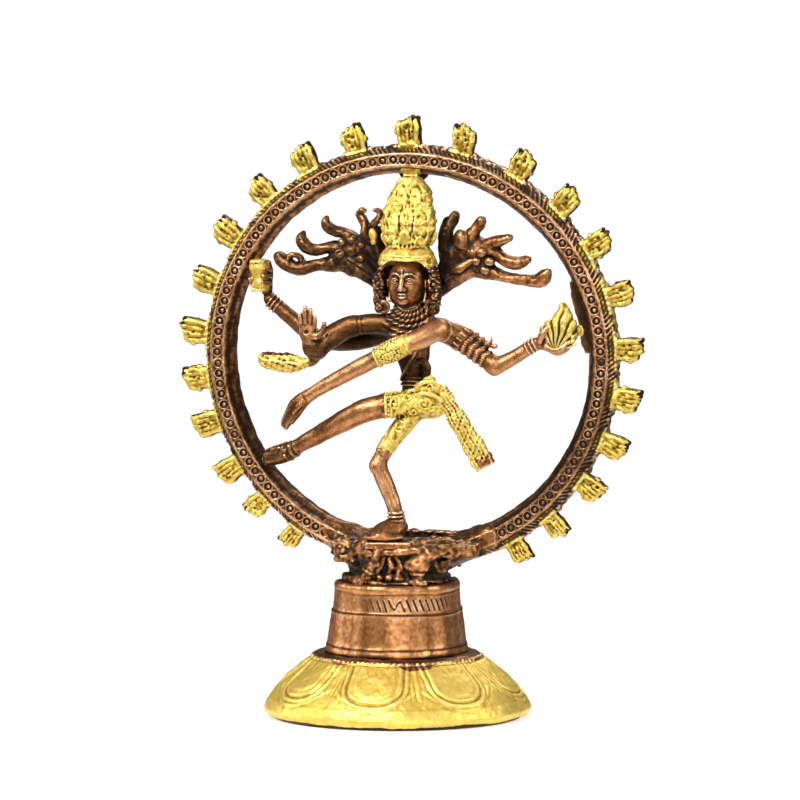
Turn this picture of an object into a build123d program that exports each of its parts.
"""Small temple-style dancing figure inside a ring of flames, on a round lotus pedestal.

Frame: millimetres, +Z up, the figure faces -Y, +X is to the right of someone looking at its
front. The origin is the centre of the underside of the base pad, on the pedestal's own axis.

The upper casting (ring, figure, dwarf) stands a little to the +X side of the pedestal's axis.
All joints are pegs, tenons, a through stud and rivets. Arms and legs are named for the
figure's own right (-X) and left (+X); the hair is named as seen from the front.
"""

from build123d import *
import math
import os

os.makedirs("parts", exist_ok=True)

# ------------------------------------------------------------------ driving dimensions
FIT = 0.03                          # radial clearance of every peg and tenon
TOUCH = 0.02                        # gap between some faces that only meet

PAD_R, PAD_T = 31.0, 0.8            # felt pad under the foot
FOOT_R, FOOT_TOP_R = 33.0, 20.4     # lotus foot, widest and at its top lip
FOOT_RIM_R, FOOT_WALL = 32.5, 2.2   # bottom rim
FOOT_PLATE_Z = 13.0                 # underside of the foot's top plate
FOOT_TOP_Z = 16.2                   # plane where the drum stands on the foot
SPIGOT_R, SPIGOT_H = 12.2, 1.4      # raised register that centres the drum on the foot
SPIGOT_WALL = 2.0
DRUM_BASE_R, DRUM_BORE_R = 17.7, 12.3
DRUM_PLATE_Z = 31.0                 # underside of the drum's top plate
DRUM_TOP_Z = 34.2                   # plane where the cap stands on the drum
CAP_NECK_R = 13.2
PLATFORM_Z, CAP_TOP_Z = 40.9, 44.0  # platform that the ring and the dwarf stand on
PLATFORM_Y = -0.4
PLATFORM_RX, PLATFORM_RY = 20.4, 11.0

STUD_R, STUD_HOLE_R = 2.5, 2.75     # M5 stud that clamps cap, drum and foot
STUD_Z0, STUD_Z1 = 6.6, 40.2
NUT_AF, NUT_H = 8.0, 4.0
WASHER_R, WASHER_T = 5.0, 1.0
WASHER_Z = FOOT_PLATE_Z - WASHER_T

RING_X, RING_Z = 2.5, 90.0          # axis of the ring, parallel to Y
RING_Y0, RING_Y1 = 1.5, 7.5         # front face and back face of the ring
RING_MID_Y = (RING_Y0 + RING_Y1) / 2
RING_IN_R, RING_OUT_R = 46.0, 53.0
REACH_R = RING_IN_R - TOUCH         # pieces inside the ring end here
RING_END_X = 18.5                   # half the gap where the ring meets the platform
TENON_L, TENON_W, TENON_H = 4.0, 3.0, 1.8
TENON_END_GAP = 0.5                 # the tenon is this much shorter than its socket
TENON_MID = RING_END_X - TENON_L / 2
TENON_Z = 42.2
RIVET_R = 0.7

FLAME_R = RING_OUT_R + TOUCH        # flames stand on the ring's outer wall
FLAME_Y0, FLAME_Y1 = 3.4, 7.0
FLAME_SINK = 0.7                    # depth of the outline's base, trimmed to the ring
# Degrees clockwise from the top of the ring, seen from the front.
FLAME_ANGLES = [-146.3, -134.0, -122.2, -109.4, -97.3, -85.2, -71.8, -58.2, -43.6, -29.9,
                -15.4, -0.6, 14.2, 30.6, 45.2, 58.6, 72.6, 86.6, 99.8, 112.2, 124.6, 138.0, 150.1]
# (across, outward) from the middle of the flame's base
FLAME_OUTLINE = [(-2.6, 0), (-3.3, 2.6), (-3.1, 4.7), (-2.3, 4.3), (-1.7, 6.7), (-0.9, 6.2),
                 (0, 7.6),
                 (0.9, 6.2), (1.7, 6.7), (2.3, 4.3), (3.1, 4.7), (3.3, 2.6), (2.6, 0)]

FOOT_PEG_X, FOOT_PEG_Y, FOOT_PEG_R = 0.4, -5.4, 1.2     # standing leg into the cap
WAIST_X, WAIST_Z, WAIST_PEG_R = 4.8, 83.2, 1.5          # torso into the dhoti
NECK_X, NECK_Z, CHIN_Z, NECK_PEG_R = 3.8, 101.6, 103.4, 1.3     # torso into the head
CROWN_PEG_X, CROWN_PEG_Y, CROWN_PEG_R = 3.4, -0.6, 1.2  # crown into the head
HEAD_TOP_Z, CROWN_TOP_Z = 114.0, 134.2

ON_BASE = (Align.CENTER, Align.CENTER, Align.MIN)
SIDES = (-1, 1)


# ------------------------------------------------------------------ helpers
def along_y(x, y, z):
    """Plane whose normal points to the back."""
    return Plane(origin=(x, y, z), z_dir=(0, 1, 0))


def facing_front(x, y, z):
    """Plane seen upright from the front, with its normal towards the viewer."""
    return Plane(origin=(x, y, z), x_dir=(1, 0, 0), z_dir=(0, -1, 0))


def post(place, radius, height, mode=Mode.ADD):
    """A cylinder that starts at a point or plane and rises along its normal."""
    with Locations(place):
        Cylinder(radius, height, align=ON_BASE, mode=mode)


def hole(place, radius, depth):
    post(place, radius, depth, Mode.SUBTRACT)


def rod(start, end, start_r, end_r):
    """A round bar with its own radius at each end."""
    start, end = Vector(*start), Vector(*end)
    axis = end - start
    with Locations(Plane(origin=start, z_dir=axis)):
        if abs(start_r - end_r) < 0.02:
            Cylinder(start_r, axis.length, align=ON_BASE)
        else:
            Cone(start_r, end_r, axis.length, align=ON_BASE)


def ball(centre, radius):
    with Locations(centre):
        Sphere(radius)


def limb(stations):
    """Tapered bars with balls at the inner joints. Stations are (x, y, z, radius)."""
    for (*start, start_r), (*end, end_r) in zip(stations, stations[1:]):
        rod(start, end, start_r, end_r)
    for x, y, z, radius in stations[1:-1]:
        ball((x, y, z), radius * 1.03)


def oval_stack(sections, ruled=False, z_dir=(0, 0, 1)):
    """Loft through parallel ellipses. Sections are (x, y, z, half width, half depth)."""
    faces = []
    for x, y, z, half_width, half_depth in sections:
        with BuildSketch(Plane(origin=(x, y, z), z_dir=z_dir)) as section:
            if abs(half_width - half_depth) > 0.01:
                Ellipse(half_width, half_depth)
            else:
                Circle(half_width)
        faces.append(section.sketch)
    loft(sections=faces, ruled=ruled)


def cut(*pieces):
    """Take finished pieces away from the open part."""
    for piece in pieces:
        add(piece.part, mode=Mode.SUBTRACT)


def trim_to_ring(radius=REACH_R):
    """Remove everything further than radius from the ring's axis."""
    plane = Plane(origin=(RING_X, -20, RING_Z), x_dir=(1, 0, 0), z_dir=(0, 1, 0))
    with BuildSketch(plane) as outside:
        Circle(90)
        Circle(radius, mode=Mode.SUBTRACT)
    extrude(outside.sketch, amount=40, mode=Mode.SUBTRACT)


def rivet_holes():
    for side in SIDES:
        hole(along_y(RING_X + side * TENON_MID, 0, TENON_Z), RIVET_R + FIT, 14)


def finish(builder, name):
    builder.part.label = name
    export_step(builder.part, f"parts/{name}.step")


# ================================================================== pedestal
with BuildPart() as base_pad:
    with BuildSketch(Plane.XY):
        Circle(PAD_R)
    extrude(amount=PAD_T)
finish(base_pad, "base_pad")

# Lotus foot: a turned, hollow, open-bottomed casting with a flat top plate. (radius, z)
with BuildPart() as lotus_foot:
    with BuildSketch(Plane.XZ):
        with BuildLine():
            shoulder = (FOOT_TOP_R + 0.6, 15.3)
            inner_rim = (FOOT_RIM_R - FOOT_WALL, PAD_T)
            Polyline((STUD_HOLE_R, FOOT_TOP_Z), (SPIGOT_R - SPIGOT_WALL, FOOT_TOP_Z),
                     (SPIGOT_R - SPIGOT_WALL, FOOT_TOP_Z + SPIGOT_H),
                     (SPIGOT_R, FOOT_TOP_Z + SPIGOT_H), (SPIGOT_R, FOOT_TOP_Z),
                     (FOOT_TOP_R, FOOT_TOP_Z), shoulder)
            Spline(shoulder, (24.2, 12.8), (27.2, 10.3), (29.7, 7.8), (31.7, 5.2), (FOOT_R, 2.6))
            Polyline((FOOT_R, 2.6), (FOOT_R, 1.4), (FOOT_RIM_R, PAD_T), inner_rim)
            Spline(inner_rim, (29.2, 4.8), (26.6, 8.6), (22.6, 11.6), (18.0, FOOT_PLATE_Z))
            Polyline((18.0, FOOT_PLATE_Z), (STUD_HOLE_R, FOOT_PLATE_Z), (STUD_HOLE_R, FOOT_TOP_Z))
        make_face()
    revolve(axis=Axis.Z)
finish(lotus_foot, "lotus_foot")

# Drum: bell-shaped, open at the bottom, closed at the top by a plate. (radius, z)
with BuildPart() as pedestal_drum:
    with BuildSketch(Plane.XZ):
        with BuildLine():
            Polyline((DRUM_BORE_R, FOOT_TOP_Z), (DRUM_BASE_R, FOOT_TOP_Z), (DRUM_BASE_R, 17.2))
            Spline((DRUM_BASE_R, 17.2), (17.15, 19.4), (16.7, 22.8), (16.3, 25.8), (15.8, 28.4))
            Polyline((15.8, 28.4), (15.4, 28.9), (15.1, 32.4), (15.5, 32.9), (15.5, 33.9),
                     (15.1, DRUM_TOP_Z), (STUD_HOLE_R, DRUM_TOP_Z), (STUD_HOLE_R, DRUM_PLATE_Z),
                     (DRUM_BORE_R - 1.5, DRUM_PLATE_Z), (DRUM_BORE_R, 28.6),
                     (DRUM_BORE_R, FOOT_TOP_Z))
        make_face()
    revolve(axis=Axis.Z)
finish(pedestal_drum, "pedestal_drum")

# Solid of the cap: round neck that spreads into a long platform. It also trims the dwarf.
with BuildPart() as cap_body:
    oval_stack([(0, 0, DRUM_TOP_Z, CAP_NECK_R, CAP_NECK_R),
                (0.6, 0, 36.6, 12.4, 10.9),
                (1.6, -0.2, 39.0, 15.2, 10.4),
                (RING_X, PLATFORM_Y, PLATFORM_Z, PLATFORM_RX, PLATFORM_RY)])
    with BuildSketch(Plane(origin=(RING_X, PLATFORM_Y, PLATFORM_Z))):
        Ellipse(PLATFORM_RX, PLATFORM_RY)
    extrude(amount=CAP_TOP_Z - PLATFORM_Z)

BUD_X, BUD_Y = 8.2, -10.6
BUD_FOOT_H = 1.0
with BuildPart() as pedestal_cap:
    add(cap_body.part)
    # flat ends where the ring butts
    for side in SIDES:
        with Locations((RING_X + side * (RING_END_X + 5), 0, 42)):
            Box(10, 40, 12, mode=Mode.SUBTRACT)
    # tenon sockets, a little over length so that they break through the flat ends
    for side in SIDES:
        with Locations((RING_X + side * TENON_MID, RING_MID_Y, TENON_Z)):
            Box(TENON_L + 0.2, TENON_W + 2 * FIT, TENON_H + 2 * FIT, mode=Mode.SUBTRACT)
        hole(along_y(RING_X + side * TENON_MID, 0, TENON_Z), RIVET_R + FIT, 14)
    # the stud's blind hole and the hole for the figure's peg
    hole((0, 0, DRUM_TOP_Z), STUD_R + FIT, 6.5)
    hole((FOOT_PEG_X, FOOT_PEG_Y, 40.4), FOOT_PEG_R + FIT, 6)
    # lotus bud that stands on the drum's rim at the front
    post((BUD_X, BUD_Y, DRUM_TOP_Z), 2.2, BUD_FOOT_H)
    post((BUD_X, BUD_Y, DRUM_TOP_Z + BUD_FOOT_H), 1.5, 3.0)
    ball((BUD_X, -10.3, 39.2), 2.9)
finish(pedestal_cap, "pedestal_cap")

# Stud, washer and nut inside the pedestal.
with BuildPart() as tie_stud:
    post((0, 0, STUD_Z0), STUD_R, STUD_Z1 - STUD_Z0)
    chamfer(tie_stud.edges().filter_by(GeomType.CIRCLE), 0.5)
finish(tie_stud, "tie_stud")

with BuildPart() as tie_washer:
    post((0, 0, WASHER_Z), WASHER_R, WASHER_T)
    hole((0, 0, WASHER_Z), STUD_HOLE_R, WASHER_T)
finish(tie_washer, "tie_washer")

with BuildPart() as tie_nut:
    with BuildSketch(Plane.XY.offset(WASHER_Z - NUT_H)):
        RegularPolygon(NUT_AF / 2, 6, major_radius=False)
        Circle(STUD_R + FIT, mode=Mode.SUBTRACT)
    extrude(amount=NUT_H)
finish(tie_nut, "tie_nut")

# ================================================================== ring of flames
with BuildPart() as flame_ring:
    # cross-section: (radius, y), with its two front corners bevelled
    with BuildSketch(Plane(origin=(RING_X, 0, RING_Z), x_dir=(1, 0, 0), z_dir=(0, 0, 1))):
        with BuildLine():
            Polyline((RING_IN_R, RING_Y1), (RING_IN_R, RING_Y0 + 2.8), (RING_IN_R + 2.0, RING_Y0),
                     (RING_IN_R + 5.2, RING_Y0), (RING_OUT_R, RING_Y0 + 2.2),
                     (RING_OUT_R, RING_Y1), close=True)
        make_face()
    revolve(axis=Axis((RING_X, 0, RING_Z), (0, 1, 0)))
    # gap for the platform
    with Locations((RING_X, RING_MID_Y, 42.0)):
        Box(2 * RING_END_X, 20, 24, mode=Mode.SUBTRACT)
    # tenons that enter the platform, each with the hole of its rivet
    for side in SIDES:
        tenon_x = RING_X + side * (TENON_MID + TENON_END_GAP / 2)
        with Locations((tenon_x, RING_MID_Y, TENON_Z)):
            Box(TENON_L - TENON_END_GAP, TENON_W, TENON_H)
    rivet_holes()
finish(flame_ring, "flame_ring")

with BuildPart() as ring_rivets:
    for side in SIDES:
        post(along_y(RING_X + side * TENON_MID, 2.2, TENON_Z), RIVET_R, 4.6)
finish(ring_rivets, "ring_rivets")

with BuildPart() as ring_flames:
    for angle in FLAME_ANGLES:
        turn = math.radians(angle)
        outward = Vector(math.sin(turn), 0, math.cos(turn))
        across = Vector(math.cos(turn), 0, -math.sin(turn))
        root = Vector(RING_X, FLAME_Y1, RING_Z) + outward * (FLAME_R - FLAME_SINK)
        with BuildSketch(Plane(origin=root, x_dir=across, z_dir=(0, -1, 0))) as flame:
            with BuildLine():
                Polyline(*FLAME_OUTLINE, close=True)
            make_face()
        extrude(flame.sketch, amount=FLAME_Y1 - FLAME_Y0)
    hole(along_y(RING_X, 0, RING_Z), FLAME_R, 12)
finish(ring_flames, "ring_flames")

# ================================================================== dwarf under the foot
with BuildPart() as dwarf:
    # body lying along X, with its head at the -X end
    limb([(-9.6, -7.4, 43.6, 2.0), (-5.0, -8.0, 43.8, 2.5), (1.0, -8.0, 43.8, 2.6),
          (7.0, -7.4, 43.8, 2.5), (13.5, -6.6, 45.0, 1.9), (18.0, -4.4, 44.6, 1.3)])
    ball((-11.4, -6.8, 43.4), 3.3)
    ball((-4.6, -7.9, 43.8), 2.6)
    # limb that hangs in front of the cap
    limb([(0.4, -9.0, 45.0, 1.8), (-0.6, -12.2, 43.6, 1.6), (-2.0, -13.2, 39.4, 1.3),
          (-3.6, -13.2, 36.0, 1.1)])
    cut(cap_body)
    # room for the drum's rim and for the figure's peg
    hole((0, 0, 30), 15.6, DRUM_TOP_Z - 30)
    hole((FOOT_PEG_X, FOOT_PEG_Y, 30), FOOT_PEG_R + FIT, 20)
finish(dwarf, "dwarf")

# ================================================================== figure: legs and hips
STAND_HEM = (-1.2, -4.2, 68.6)      # cloth's hem on the standing leg
ANKLE = (0.6, -5.0, 48.4)
HIP = (8.6, -0.9, 79.3)
RAISED_SOLE = (-34.2, 3.1, 63.9)

# Standing leg: from the hem to the foot, with a peg through the dwarf into the cap.
with BuildPart() as standing_leg:
    limb([STAND_HEM + (2.15,), (-3.5, -5.2, 63.6, 2.25), (-1.6, -5.0, 58.8, 2.1),
          (0.8, -4.7, 51.3, 1.85), ANKLE + (2.0,)])
    limb([ANKLE + (2.1,), (-1.6, -7.6, 47.6, 2.1), (-3.4, -10.0, 47.0, 1.4)])
    post((FOOT_PEG_X, FOOT_PEG_Y, 40.6), FOOT_PEG_R, 8.0)
    cut(dwarf)
finish(standing_leg, "standing_leg")

with BuildPart() as dhoti:
    # hips, raised thigh to its hem, standing thigh to its hem
    ball((5.2, -0.6, 79.8), 4.5)
    rod(HIP, (4.8, -1.0, 79.2), 3.3, 3.9)
    ball(HIP, 3.36)
    limb([(5.0, -1.1, 79.2, 4.1), (2.2, -3.3, 78.9, 3.6), (-1.2, -5.2, 78.5, 3.3)])
    limb([(4.8, -1.6, 77.6, 3.3), (2.8, -2.75, 74.0, 2.7), STAND_HEM + (2.4,)])
    cut(standing_leg)
    # flat seat where the waist stands
    with Locations((WAIST_X, 0, WAIST_Z)):
        Box(24, 20, 6, align=ON_BASE, mode=Mode.SUBTRACT)
    hole((WAIST_X, 0, 80.4), WAIST_PEG_R + FIT, 8)
finish(dhoti, "dhoti")

# Raised leg: its sole ends on the ring's inner wall.
with BuildPart() as raised_leg:
    limb([(-1.25, -5.2, 78.5, 3.1), (-6.6, -5.9, 77.2, 3.1), (-11.8, -5.3, 74.6, 2.8),
          (-18.6, -3.1, 70.8, 2.35), (-26.4, 0.5, 66.7, 2.1), RAISED_SOLE + (2.15,)])
    ball(RAISED_SOLE, 2.2)
    cut(dhoti)
    trim_to_ring()
finish(raised_leg, "raised_leg")

SASH_DIR = (0.50, 0.09, -0.86)      # normal of both end sections
with BuildPart() as sash_tail:
    with BuildSketch(Plane(origin=(12.2, -1.7, 81.4), x_dir=(0.88, 0.05, 0.48),
                           z_dir=SASH_DIR)) as sash_top:
        RectangleRounded(4.4, 3.0, 0.9)
    with BuildSketch(Plane(origin=(22.4, 0.3, 63.6), x_dir=(0.86, 0.05, 0.50),
                           z_dir=SASH_DIR)) as sash_end:
        RectangleRounded(5.4, 2.8, 0.9)
    loft(sections=[sash_top.sketch, sash_end.sketch])
    cut(dhoti)
finish(sash_tail, "sash_tail")

with BuildPart() as waist_knot:
    ball((10.2, -2.4, 82.3), 2.2)
    ball((9.2, -2.6, 84.5), 1.6)
    ball((7.4, -3.5, 82.6), 1.8)
    cut(dhoti, sash_tail)
    # room for the torso
    hole((WAIST_X, 0, 83.0), 3.9, 12)
finish(waist_knot, "waist_knot")

# ================================================================== figure: trunk and head
with BuildPart() as torso:
    oval_stack([(WAIST_X, 0, WAIST_Z, 3.6, 2.9), (4.7, 0, 87.2, 3.3, 2.7),
                (4.4, -0.1, 91.6, 4.6, 3.1), (4.2, -0.2, 95.8, 6.6, 3.5),
                (4.1, 0, 98.6, 7.2, 3.2), (4.0, 0, 100.4, 5.0, 2.8), (3.9, 0, NECK_Z, 2.9, 2.5)])
    # neck, with a peg above it, and a peg below the waist
    post((NECK_X, 0, NECK_Z), 2.5, CHIN_Z - NECK_Z)
    post((NECK_X, 0, CHIN_Z), NECK_PEG_R, 2.6)
    post((WAIST_X, 0, 81.0), WAIST_PEG_R, 3.6)
finish(torso, "torso")

with BuildPart() as head:
    oval_stack([(3.6, -0.6, CHIN_Z, 2.6, 2.4), (3.2, -1.6, 104.2, 3.6, 3.6),
                (3.2, -1.4, 107.0, 5.0, 4.9), (3.2, -1.2, 110.4, 5.5, 5.2),
                (3.4, -1.0, HEAD_TOP_Z, 5.6, 5.2)])
    hole((NECK_X, 0, 103.0), NECK_PEG_R + FIT, 3.2)
    hole((CROWN_PEG_X, CROWN_PEG_Y, 112.2), CROWN_PEG_R + FIT, 4)
finish(head, "head")

HEADBAND_TOP_Z = 117.6
with BuildPart() as crown:
    # headband, then the tall bundle of hair above it
    oval_stack([(3.5, -0.9, HEAD_TOP_Z + TOUCH, 6.9, 5.4), (3.3, -0.4, HEADBAND_TOP_Z, 5.8, 4.3)],
               ruled=True)
    oval_stack([(3.3, -0.4, HEADBAND_TOP_Z, 5.6, 4.1), (2.9, 1.0, 123.6, 7.0, 3.9),
                (2.75, 1.9, 129.6, 5.8, 3.3), (2.6, 2.8, CROWN_TOP_Z, 2.8, 2.2)], ruled=True)
    post((CROWN_PEG_X, CROWN_PEG_Y, 112.4), CROWN_PEG_R, 2.0)
finish(crown, "crown")

# Block between the crown's tip and the ring's inner wall.
with BuildPart() as crown_finial:
    with Locations((2.6, 3.0, CROWN_TOP_Z + TOUCH)):
        Box(4.4, 3.0, 3.0, align=ON_BASE)
    post(along_y(RING_X, -20, RING_Z), REACH_R, 40, Mode.INTERSECT)
finish(crown_finial, "crown_finial")

with BuildPart() as earrings:
    with Locations(*[Plane(origin=(x, -1.2, 104.2), z_dir=(0, -1, 0)) for x in (-2.1, 8.7)]):
        Cylinder(2.0, 1.6)
        Cylinder(0.6, 1.6, mode=Mode.SUBTRACT)
    cut(head, torso)
finish(earrings, "earrings")

# ================================================================== figure: spread locks of hair
# Each lock runs from its root to its tip; stations are (x, y, z, radius).
LEFT_LONG_LOCK = [(0.6, 2.4, 105.0, 2.2), (-3.0, 2.6, 108.6, 2.8), (-7.6, 2.8, 112.6, 3.3),
                  (-12.6, 3.0, 115.0, 3.1), (-18.4, 3.0, 113.6, 2.1), (-24.0, 3.0, 112.2, 2.0),
                  (-29.6, 3.0, 113.6, 1.7)]
LEFT_LOCKS = [
    [(-12.6, 3.0, 116.0, 2.4), (-18.6, 3.0, 117.2, 1.9), (-23.2, 3.0, 117.6, 1.7),
     (-25.6, 3.0, 121.4, 1.3)],
    [(-9.0, 3.0, 115.0, 3.0), (-13.2, 3.0, 119.4, 2.2), (-17.4, 3.0, 120.4, 1.7),
     (-19.8, 3.0, 123.6, 1.3)],
    [(-7.0, 3.0, 113.0, 3.0), (-8.6, 3.0, 120.6, 1.9), (-10.6, 3.0, 126.0, 1.1)],
    [(-6.6, 3.0, 114.0, 2.6), (-6.8, 3.0, 121.0, 1.5), (-7.4, 3.0, 125.6, 1.0)],
]
RIGHT_LOCKS = [
    [(6.2, 2.4, 105.0, 2.2), (10.0, 2.6, 108.2, 2.6), (14.4, 2.8, 111.8, 3.0),
     (19.6, 3.0, 113.0, 3.2), (26.4, 3.0, 110.6, 2.1), (33.4, 3.0, 109.2, 1.8),
     (38.0, 3.0, 111.4, 1.4)],
    [(20.0, 3.0, 114.4, 2.6), (26.0, 3.0, 114.2, 2.0), (32.2, 3.0, 114.8, 1.3)],
    [(18.0, 3.0, 115.6, 2.6), (23.0, 3.0, 117.8, 1.9), (27.6, 3.0, 120.0, 1.2)],
    [(14.6, 3.0, 113.6, 2.8), (17.2, 3.0, 119.4, 2.6), (20.6, 3.0, 124.4, 1.3)],
    [(12.6, 3.0, 113.0, 2.6), (12.8, 3.0, 120.6, 1.9), (13.8, 3.0, 126.0, 1.3)],
]

with BuildPart() as hair_left:
    limb(LEFT_LONG_LOCK)
    ball((-30.2, 3.0, 114.0), 1.9)
    for lock in LEFT_LOCKS:
        limb(lock)
    cut(head, crown, torso)
finish(hair_left, "hair_left")

with BuildPart() as hair_right:
    for lock in RIGHT_LOCKS:
        limb(lock)
    cut(head, crown, torso)
finish(hair_right, "hair_right")

# ================================================================== figure: arms
# Front right arm: raised open hand. Fingers are (root x, tip x, tip z).
FINGERS = [(-22.4, -22.9, 100.8), (-21.7, -21.8, 102.8), (-20.8, -20.4, 101.9),
           (-20.0, -19.3, 100.7)]
with BuildPart() as front_right_arm:
    limb([(0.0, 0.0, 98.2, 2.6), (-8.0, -0.7, 98.0, 2.6), (-12.6, -1.4, 97.2, 2.7),
          (-17.6, -3.3, 94.0, 2.7), (-19.8, -5.2, 92.2, 2.3), (-20.8, -6.8, 94.6, 1.8),
          (-21.2, -7.5, 96.6, 1.9), (-21.2, -7.6, 98.6, 1.8)])
    for root_x, tip_x, tip_z in FINGERS:
        rod((root_x, -7.4, 97.8), (tip_x, -8.0, tip_z), 0.72, 0.55)
    # thumb
    rod((-20.2, -7.0, 95.4), (-16.9, -7.6, 98.6), 1.0, 0.65)
    cut(torso)
finish(front_right_arm, "front_right_arm")

# Snake: sections are (x, y, z, half height, half depth), towards -X.
SNAKE_SECTIONS = [(-22.6, -3.0, 88.2, 1.2, 1.0), (-28.6, -2.6, 88.3, 1.4, 2.7),
                  (-33.0, -2.4, 88.7, 1.3, 2.2), (-35.4, -2.3, 89.0, 0.8, 0.9)]
with BuildPart() as snake:
    oval_stack(SNAKE_SECTIONS, z_dir=(-1, 0, 0))
    limb([(-22.8, -3.0, 88.2, 1.1), (-19.4, -3.6, 89.6, 1.1), (-17.0, -3.6, 91.0, 1.1)])
    cut(front_right_arm)
finish(snake, "snake")

# Rear right arm: holds up the hourglass drum, which touches the ring.
RIGHT_WRIST = (-34.2, 3.8, 103.6, 2.0)
RIGHT_HAND = (-34.8, 4.6, 111.4)
with BuildPart() as rear_right_arm:
    limb([(-1.0, 1.6, 96.6, 2.3), (-10.0, 2.8, 93.6, 2.2), (-21.4, 3.4, 94.0, 2.2),
          (-28.0, 3.6, 98.6, 2.0), RIGHT_WRIST])
    limb([RIGHT_WRIST, (-35.0, 4.4, 107.6, 1.9), RIGHT_HAND + (1.5,)])
    ball(RIGHT_HAND, 1.5)
    cut(torso, front_right_arm)
    trim_to_ring()
finish(rear_right_arm, "rear_right_arm")

with BuildPart() as hand_drum:
    limb([(-36.2, 2.2, 105.6, 2.6), (-36.4, 2.2, 107.9, 2.5), (-36.4, 2.2, 109.6, 1.7),
          (-36.6, 2.2, 111.4, 2.5), (-36.8, 2.2, 114.4, 2.5)])
    cut(rear_right_arm)
    trim_to_ring()
finish(hand_drum, "hand_drum")

# Front left arm: crosses the chest and points down to the raised foot, in three lengths.
FRONT_SHOULDER = (11.2, -1.6, 97.5)
ARMLET_START = (3.8, -6.75, 94.1)
with BuildPart() as front_left_upper_arm:
    limb([FRONT_SHOULDER + (2.8,), (8.6, -4.7, 96.2, 2.75), ARMLET_START + (2.6,)])
    ball(FRONT_SHOULDER, 2.95)
    cut(torso)
finish(front_left_upper_arm, "front_left_upper_arm")

with BuildPart() as front_left_armlet:
    limb([ARMLET_START + (2.8,), (1.0, -6.95, 92.7, 3.0), (-4.0, -7.2, 90.2, 2.5)])
    cut(torso, front_left_upper_arm)
finish(front_left_armlet, "front_left_armlet")

with BuildPart() as front_left_forearm:
    limb([(-3.8, -7.2, 90.3, 2.2), (-12.0, -7.0, 85.9, 2.0), (-21.2, -6.2, 80.6, 1.65),
          (-24.4, -6.0, 77.6, 2.1), (-27.2, -6.1, 72.6, 0.9)])
    cut(front_left_armlet)
finish(front_left_forearm, "front_left_forearm")

# Rear left arm: holds the flame, which is bracketed to the ring.
REAR_SHOULDER = (11.4, 1.4, 97.2)
LEFT_HAND = (41.6, 2.0, 92.6)
with BuildPart() as rear_left_arm:
    limb([REAR_SHOULDER + (2.85,), (18.0, 1.4, 93.3, 2.75), (25.0, 1.2, 88.4, 2.35),
          (30.4, 1.4, 91.2, 1.9), (35.8, 1.6, 94.8, 1.65), (38.6, 1.8, 93.8, 2.3),
          LEFT_HAND + (2.15,)])
    ball(LEFT_HAND, 2.2)
    ball(REAR_SHOULDER, 2.95)
    cut(torso, front_left_upper_arm)
finish(rear_left_arm, "rear_left_arm")

# (x, z) from a point above the hand
HAND_FLAME_OUTLINE = [(-1.6, -3.2), (-4.2, -0.8), (-4.6, 1.2), (-2.6, 3.2), (0.2, 4.8),
                      (1.9, 8.2), (3.0, 5.2), (3.8, 1.6), (4.0, -1.4), (2.2, -3.4)]
with BuildPart() as hand_flame:
    with BuildSketch(facing_front(41.6, 4.0, 97.0)) as palm_flame:
        with BuildLine():
            Polyline(*HAND_FLAME_OUTLINE, close=True)
        make_face()
    extrude(palm_flame.sketch, amount=3.4)
    cut(rear_left_arm)
    trim_to_ring(RING_IN_R - 1.0)
finish(hand_flame, "hand_flame")

# Bracket: a strip of the ring's own curve that carries the flame hand.
BRACKET_ANGLES = (2, 26)            # degrees above horizontal, on the +X side
WEDGE_R = 60                        # reaches well past the strip
with BuildPart() as ring_bracket:
    with BuildSketch(facing_front(RING_X, 6.6, RING_Z)) as strip:
        Circle(REACH_R)
        Circle(RING_IN_R - 3.2, mode=Mode.SUBTRACT)
    extrude(strip.sketch, amount=3.4)
    with BuildSketch(facing_front(RING_X, 10, RING_Z)) as wedge:
        with BuildLine():
            corners = [(WEDGE_R * math.cos(math.radians(angle)),
                        WEDGE_R * math.sin(math.radians(angle))) for angle in BRACKET_ANGLES]
            Polyline((0, 0), *corners, close=True)
        make_face()
    extrude(wedge.sketch, amount=20, mode=Mode.INTERSECT)
    cut(hand_flame, rear_left_arm)
finish(ring_bracket, "ring_bracket")
